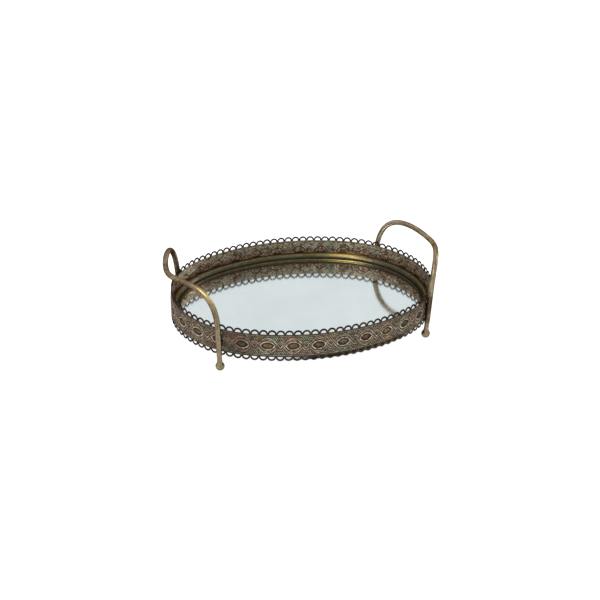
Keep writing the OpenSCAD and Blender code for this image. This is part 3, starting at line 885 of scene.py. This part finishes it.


def bezel_moulding():
    """The bezel. Its slope is 90 degrees at the top of the swell and less towards the bead."""
    profile = bezel_profile()
    stations = 372
    s = np.arange(stations) * PERIMETER / stations
    inset = np.repeat(profile[:, 0][:, None], stations, 1)
    z = np.repeat(profile[:, 1][:, None], stations, 1)
    points = wall_points(s[None, :], inset, z)
    slope = np.degrees(np.arctan2(z - MIRROR_TOP, inset - MOULDING_CENTRE))
    from_highlight = from_front(s - HIGHLIGHT_MIDDLE)
    on_bead = inset > MOULDING_CENTRE + MOULDING_RADIUS - 0.6
    # The swell's upper face is lighter near the painted highlight: painted light
    swell = np.where(on_bead, 0.25, smoothstep(slope, 48, 78) * (0.2 + 0.8 * ridge(from_highlight + 10, 85)))
    # Painted highlight: brightest at one place on the back, weaker beside it and on the opposite side, and
    # along the bead, the lip and a thin line on the swell
    bright = ridge(from_highlight, 24) + 0.15 * ridge(from_highlight - 75, 60)
    from_opposite = np.mod(from_highlight + PERIMETER, PERIMETER) - PERIMETER / 2
    bright += 0.3 * ridge(from_opposite, 45)
    gold_highlight = bright[None, :] * np.where(on_bead, 0.6, ridge(slope - 66, 17))
    lip = ridge(z - BEZEL_TOP, 0.5) * (inset < 2.3)
    gold_highlight = np.maximum(gold_highlight, 0.55 * lip * (0.25 + bright[None, :]))
    gold_highlight = np.maximum(gold_highlight, 0.13 * ridge(slope - 62, 6) * ~on_bead)
    # Painted shade on the lower part of the swell, which faces the mirror
    dark = 0.6 * smoothstep(46 - slope, 0, 16) * ~on_bead
    attributes = {"swell": swell, "gold_highlight": np.clip(gold_highlight, 0, 1), "dark": dark}
    return make_object("bezel_moulding", points, grid_faces(len(profile), stations, True),
                       attributes=attributes)


finish_piece(bezel_moulding(), BEZEL, "bezel_patina", "bezel_ring")
for node, material in (("mirror_glass", MIRROR), ("backing_board", BOARD)):
    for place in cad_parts[node].material_slots:
        place.material = material


CLIP_SIDES = 16
CLIP_INSET = 2.21  # from the outside of the strip to the back of a clip


def board_clip(index):
    """A bent clip: a leg beside the board and a foot under it that narrows to its toe."""
    low, high = (np.array(corner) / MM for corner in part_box("board_clip_%d" % (index + 1)))
    middle = (low + high) / 2
    guess = np.linspace(0, PERIMETER, 3721)
    x, y = oval(guess, 8.0)
    s = guess[np.argmin(np.hypot(x - middle[0], y - middle[1]))]
    corner_x, corner_y = oval(np.array([s - 0.5, s + 0.5]))
    along = np.array([corner_x[1] - corner_x[0], corner_y[1] - corner_y[0]])
    along /= np.linalg.norm(along)
    inward = np.array([-along[1], along[0]])
    origin = np.array(oval(s)) + inward * CLIP_INSET
    sheet, bend = 0.8, 0.9
    top, foot = high[2], low[2] + sheet / 2
    turn = np.radians(np.linspace(180, 270, 7))
    centre = np.array([sheet / 2 + bend, foot + bend])
    upright = [[sheet / 2, top], [sheet / 2, (top + foot + bend) / 2]]
    bent = centre + bend * np.stack([np.cos(turn), np.sin(turn)], -1)
    sole = [[5.0, foot], [7.5, foot], [9.4, foot], [10.9, foot + 0.05]]
    line = np.concatenate([upright, bent, sole])
    tangent = np.gradient(line, axis=0)
    tangent /= np.linalg.norm(tangent, axis=1)[:, None]
    normal = np.stack([-tangent[:, 1], tangent[:, 0]], -1)
    sides, faces = rounded_section(CLIP_SIDES, 5.0)
    width = np.interp(line[:, 0], [0, 5, 9.4, 11], [4.4, 4.3, 3.4, 1.9])
    points = []
    for (d, z), (nx, nz), half in zip(line, normal, width):
        for side, face in zip(sides, faces):
            offset = sheet / 2 * face * 0.98
            place = origin + along * side * half + inward * (d + nx * offset)
            points.append([place[0], place[1], z + nz * offset])
    return make_object("clip_%d" % (index + 1), points, *tubes(1, len(line), CLIP_SIDES))


for number in range(CLIPS):
    finish_piece(board_clip(number), CLIP, "clip_steel", "board_clip_%d" % (number + 1))


# ---- Handles, feet and brazing ----
ROD_SIDES = 24


def rod_handle(side, name):
    """A bent rod with two legs, slightly hammered, and thinner where it enters its feet."""
    path, at = resample(handle_path(side), 1.5)
    tangent = np.gradient(path, axis=0)
    tangent /= np.linalg.norm(tangent, axis=1)[:, None]
    across = np.cross(tangent, [side, 0, 0])
    across /= np.linalg.norm(across, axis=1)[:, None]
    out = np.cross(across, tangent)
    to_end = np.minimum(at, at[-1] - at) + NECK_TOP - ROOT
    radius = NECK_RADIUS + (ROD_RADIUS - NECK_RADIUS) * smoothstep(to_end, NECK_TOP - 2, TAPER_TOP + 2)
    radius -= 0.3 * smoothstep(NECK_TOP - to_end, 0, ROOT)
    turn = full_turn(ROD_SIDES)
    hammered = 1 - 0.022 * (0.5 + 0.5 * waves(at[:, None], 9 * np.cos(turn)[None, :], 31 + side,
                                              longest=38, shortest=5))
    rim = (np.cos(turn)[None, :, None] * out[:, None, :] + np.sin(turn)[None, :, None] * across[:, None, :])
    points = path[:, None, :] + (radius[:, None] * hammered)[..., None] * rim
    facing_up = rim[..., 2]
    # Gold along the top and higher up: partly rubbing, partly painted highlight
    rubbed = 0.16 * smoothstep(facing_up, 0.1, 0.9) + 0.06 * smoothstep(path[:, 2:], 50, 90)
    # Painted shade under the rod, less of it on top
    aged_and_shade = 0.14 * smoothstep(-facing_up, 0.0, 0.9) - 0.1 * smoothstep(facing_up, 0.0, 0.8)
    streak = waves(0.25 * at[:, None], 9 * np.cos(turn) + 5 * np.sin(turn), 77 + side, longest=20,
                   shortest=3)
    streak = 0.5 + 0.2 * streak * smoothstep(to_end, NECK_TOP, TAPER_TOP)[:, None]
    if side < 0:  # the rear of the left handle and the front leg of the right one are dull
        dull = smoothstep(path[:, 1:2], -80, -30)
    else:
        lower_leg = smoothstep(58 - path[:, 2:], 0, 15) * smoothstep(path[:, 2:], 13, 26)
        dull = 1.9 * lower_leg * (path[:, 1:2] < 0)
    rubbed -= 0.2 * dull
    aged_and_shade += 0.16 * dull
    return make_object(name, points, *tubes(1, len(path), ROD_SIDES),
                       attributes={"rubbed": rubbed, "aged_and_shade": aged_and_shade, "streak": streak})


def ball_foot(side, back):
    """A ball with a flat under it and a neck that grows out of it."""
    ball, out, across, up = leg_axes(side, back)
    u = np.concatenate([-BALL_RADIUS * np.cos(np.linspace(0.03, 2.45, 30)),
                        np.linspace(4.6, NECK_TOP + 3, 12)])
    sphere = np.sqrt(np.clip(BALL_RADIUS**2 - u**2, 0, None))
    neck = np.interp(u, [0, 6.5, NECK_TOP, NECK_TOP + 3],
                     [BALL_RADIUS * 0.74, NECK_RADIUS + 0.25, NECK_RADIUS + 0.02, NECK_RADIUS - 0.25])
    blend = 0.9
    mixed = np.clip(0.5 + 0.5 * (sphere - neck) / blend, 0, 1)
    radius = sphere * mixed + neck * (1 - mixed) + blend * mixed * (1 - mixed)
    radius = np.where(u < 0, sphere, radius)
    radius = np.minimum(radius, BALL_RADIUS)
    sides = 40
    turn = full_turn(sides)
    rim = np.cos(turn)[None, :, None] * out + np.sin(turn)[None, :, None] * across
    points = ball + u[:, None, None] * up + radius[:, None, None] * rim
    points[..., 2] = np.maximum(points[..., 2], 0.0)
    aged_and_shade = 0.02 + 0.05 * waves(points[..., 0], points[..., 2] * 2, 9, longest=20, shortest=3)
    return make_object("foot_" + corner_name(side, back), points, *tubes(1, len(u), sides),
                       attributes={"rubbed": np.full(aged_and_shade.shape, 0.08), "aged_and_shade": aged_and_shade,
                                   "streak": np.full(aged_and_shade.shape, 0.5)})


def braze_fillets(side, back):
    """Two lumpy fillets of filler between a leg and the band."""
    ball, out, across, up = leg_axes(side, back)
    points = []
    levels, sides = 15, 22
    for which, (low, high) in enumerate(((BAND_BOTTOM + 0.9, BAND_MIDDLE - 7.3),
                                         (BAND_MIDDLE + 7.3, BAND_TOP - 0.9))):
        for k, z in enumerate(np.linspace(low, high, levels)):
            ends = math.sqrt(max(0.0, 1 - (2 * k / (levels - 1) - 1) ** 4))
            lumps = 1 + 0.1 * math.sin(k * 0.6 + which * 2 + side + 2 * back)
            half = 1.4 + 2.7 * ends * lumps
            t = np.linspace(-1, 1, sides // 2)
            foot = np.clip(half, 0, 4.5) * np.sign(t) * np.abs(t) ** 0.8
            hollow = 0.05 - LEG_STANDOFF + (0.25 + 2.0 * ends) * (1 - np.abs(t) ** 0.9)
            front = np.stack([foot, hollow], -1)
            rear = np.stack([foot[::-1] * 0.995, np.full(sides // 2, -LEG_STANDOFF - 0.02)], -1)
            for sideways, outward in np.concatenate([front, rear]):
                distance = (z - BALL_CENTRE) / up[2]
                points.append(ball + up * distance + across * sideways + out * outward)
    return make_object("braze_fillets_" + corner_name(side, back), points, *tubes(2, levels, sides))


SEAM_AT = PERIMETER / 2 - 83.5  # distance along the gallery
SEAM_PROUD = 0.45  # how far the solder may stand out of the gallery


def seam_solder():
    """Solder along the lap where the strip's ends are joined at the back, inside and outside."""
    points = []
    levels, sides = 30, 12
    turn = full_turn(sides)
    faces = ((SHEET, BEZEL_TOP - 0.4, BAND_TOP - 0.3), (0.0, BAND_BOTTOM + 0.4, BAND_TOP - 0.3))
    for which, (inset, low, high) in enumerate(faces):
        z = np.linspace(low, high, levels)
        swell = 1 + 0.25 * np.sin(z * 1.3 + which) + 0.15 * np.sin(z * 2.9 + 1)
        swell *= np.sqrt(np.clip(1 - np.linspace(-1, 1, levels) ** 6, 0.02, 1))
        wander = 0.25 * np.sin(z * 0.7 + which)
        s = SEAM_AT + wander[:, None] + 1.3 * swell[:, None] * np.cos(turn)[None, :]
        depth = np.maximum(inset + 0.42 * swell[:, None] * np.sin(turn)[None, :], -SEAM_PROUD)
        points.append(wall_points(s, depth, z[:, None]).reshape(-1, 3))
    return make_object("seam_solder", np.concatenate(points), *tubes(len(faces), levels, sides))


for side, side_name in ((-1, "left"), (1, "right")):
    finish_piece(rod_handle(side, "rod_handle_" + side_name), ROD, "rod_patina", "handle_" + side_name)
    for back in (-1, 1):
        corner = corner_name(side, back)
        finish_piece(ball_foot(side, back), ROD, "rod_patina", "ball_foot_" + corner)
        finish_piece(braze_fillets(side, back), BRAZE, "braze", "braze_" + corner)
finish_piece(seam_solder(), SEAM, "braze")


# ---- Floor, light and camera ----
FLOOR_DROP = 0.02  # the floor lies this far under the feet


def studio():
    """A pale floor, two softboxes and an even white sky."""
    reach = 4000.0
    lines = np.linspace(-reach, reach, 9)
    x, y = np.meshgrid(lines, lines)
    points = np.stack([x, y, 0 * x - FLOOR_DROP], -1)
    mesh = bpy.data.meshes.new("studio_floor")
    mesh.from_pydata((points.reshape(-1, 3) * MM).tolist(), [], grid_faces(9, 9, False, False).tolist())
    floor = bpy.data.objects.new("studio_floor", mesh)
    mesh.materials.append(floor_paper())
    bpy.context.scene.collection.objects.link(floor)

    def softbox(name, place, size, power):
        light = bpy.data.lights.new(name, "AREA")
        light.shape = "DISK"
        light.size = size
        light.energy = power
        lamp = bpy.data.objects.new(name, light)
        lamp.location = place
        lamp.rotation_euler = (Vector((0, 0, 0.03)) - Vector(place)).to_track_quat("-Z", "Y").to_euler()
        bpy.context.scene.collection.objects.link(lamp)

    softbox("softbox_left", (-0.7, -0.4, 1.3), 0.7, 14)
    softbox("softbox_right", (1.2, 0.2, 0.8), 0.5, 6)
    world = bpy.data.worlds.new("studio")
    world.use_nodes = True
    sky = world.node_tree.nodes["Background"]
    sky.inputs["Color"].default_value = (0.96, 0.99, 1.0, 1)
    sky.inputs["Strength"].default_value = 0.96
    bpy.context.scene.world = world
    bpy.context.scene.view_settings.view_transform = "Standard"


CAMERA_AZIMUTH = -21.3
CAMERA_ELEVATION = 27.46
CAMERA_ROLL = 2.04
CAMERA_DISTANCE = 1514.2
CAMERA_LENS = 72.16
AIM_RIGHT = -2.14  # where the camera looks, from the middle of the gallery's lower edge
AIM_UP = 10.69


def photo_camera():
    """A camera with a slight roll, placed by its direction and distance from what it looks at."""
    azimuth = math.radians(CAMERA_AZIMUTH)
    elevation = math.radians(CAMERA_ELEVATION)
    roll = math.radians(CAMERA_ROLL)
    back = Vector((math.sin(azimuth) * math.cos(elevation), -math.cos(azimuth) * math.cos(elevation),
                   math.sin(elevation)))
    level = Vector((math.cos(azimuth), math.sin(azimuth), 0))
    raised = back.cross(level)
    right = math.cos(roll) * level + math.sin(roll) * raised
    up = -math.sin(roll) * level + math.cos(roll) * raised
    aim = Vector((0, 0, GALLERY_BOTTOM)) + AIM_RIGHT * right + AIM_UP * up
    place = (aim + CAMERA_DISTANCE * back) * MM
    data = bpy.data.cameras.new("photo_camera")
    data.sensor_width = 36
    data.lens = CAMERA_LENS
    camera = bpy.data.objects.new("photo_camera", data)
    turned = Matrix((right, up, back)).transposed().to_4x4()
    camera.matrix_world = Matrix.Translation(place) @ turned
    bpy.context.scene.collection.objects.link(camera)
    bpy.context.scene.camera = camera


studio()
photo_camera()
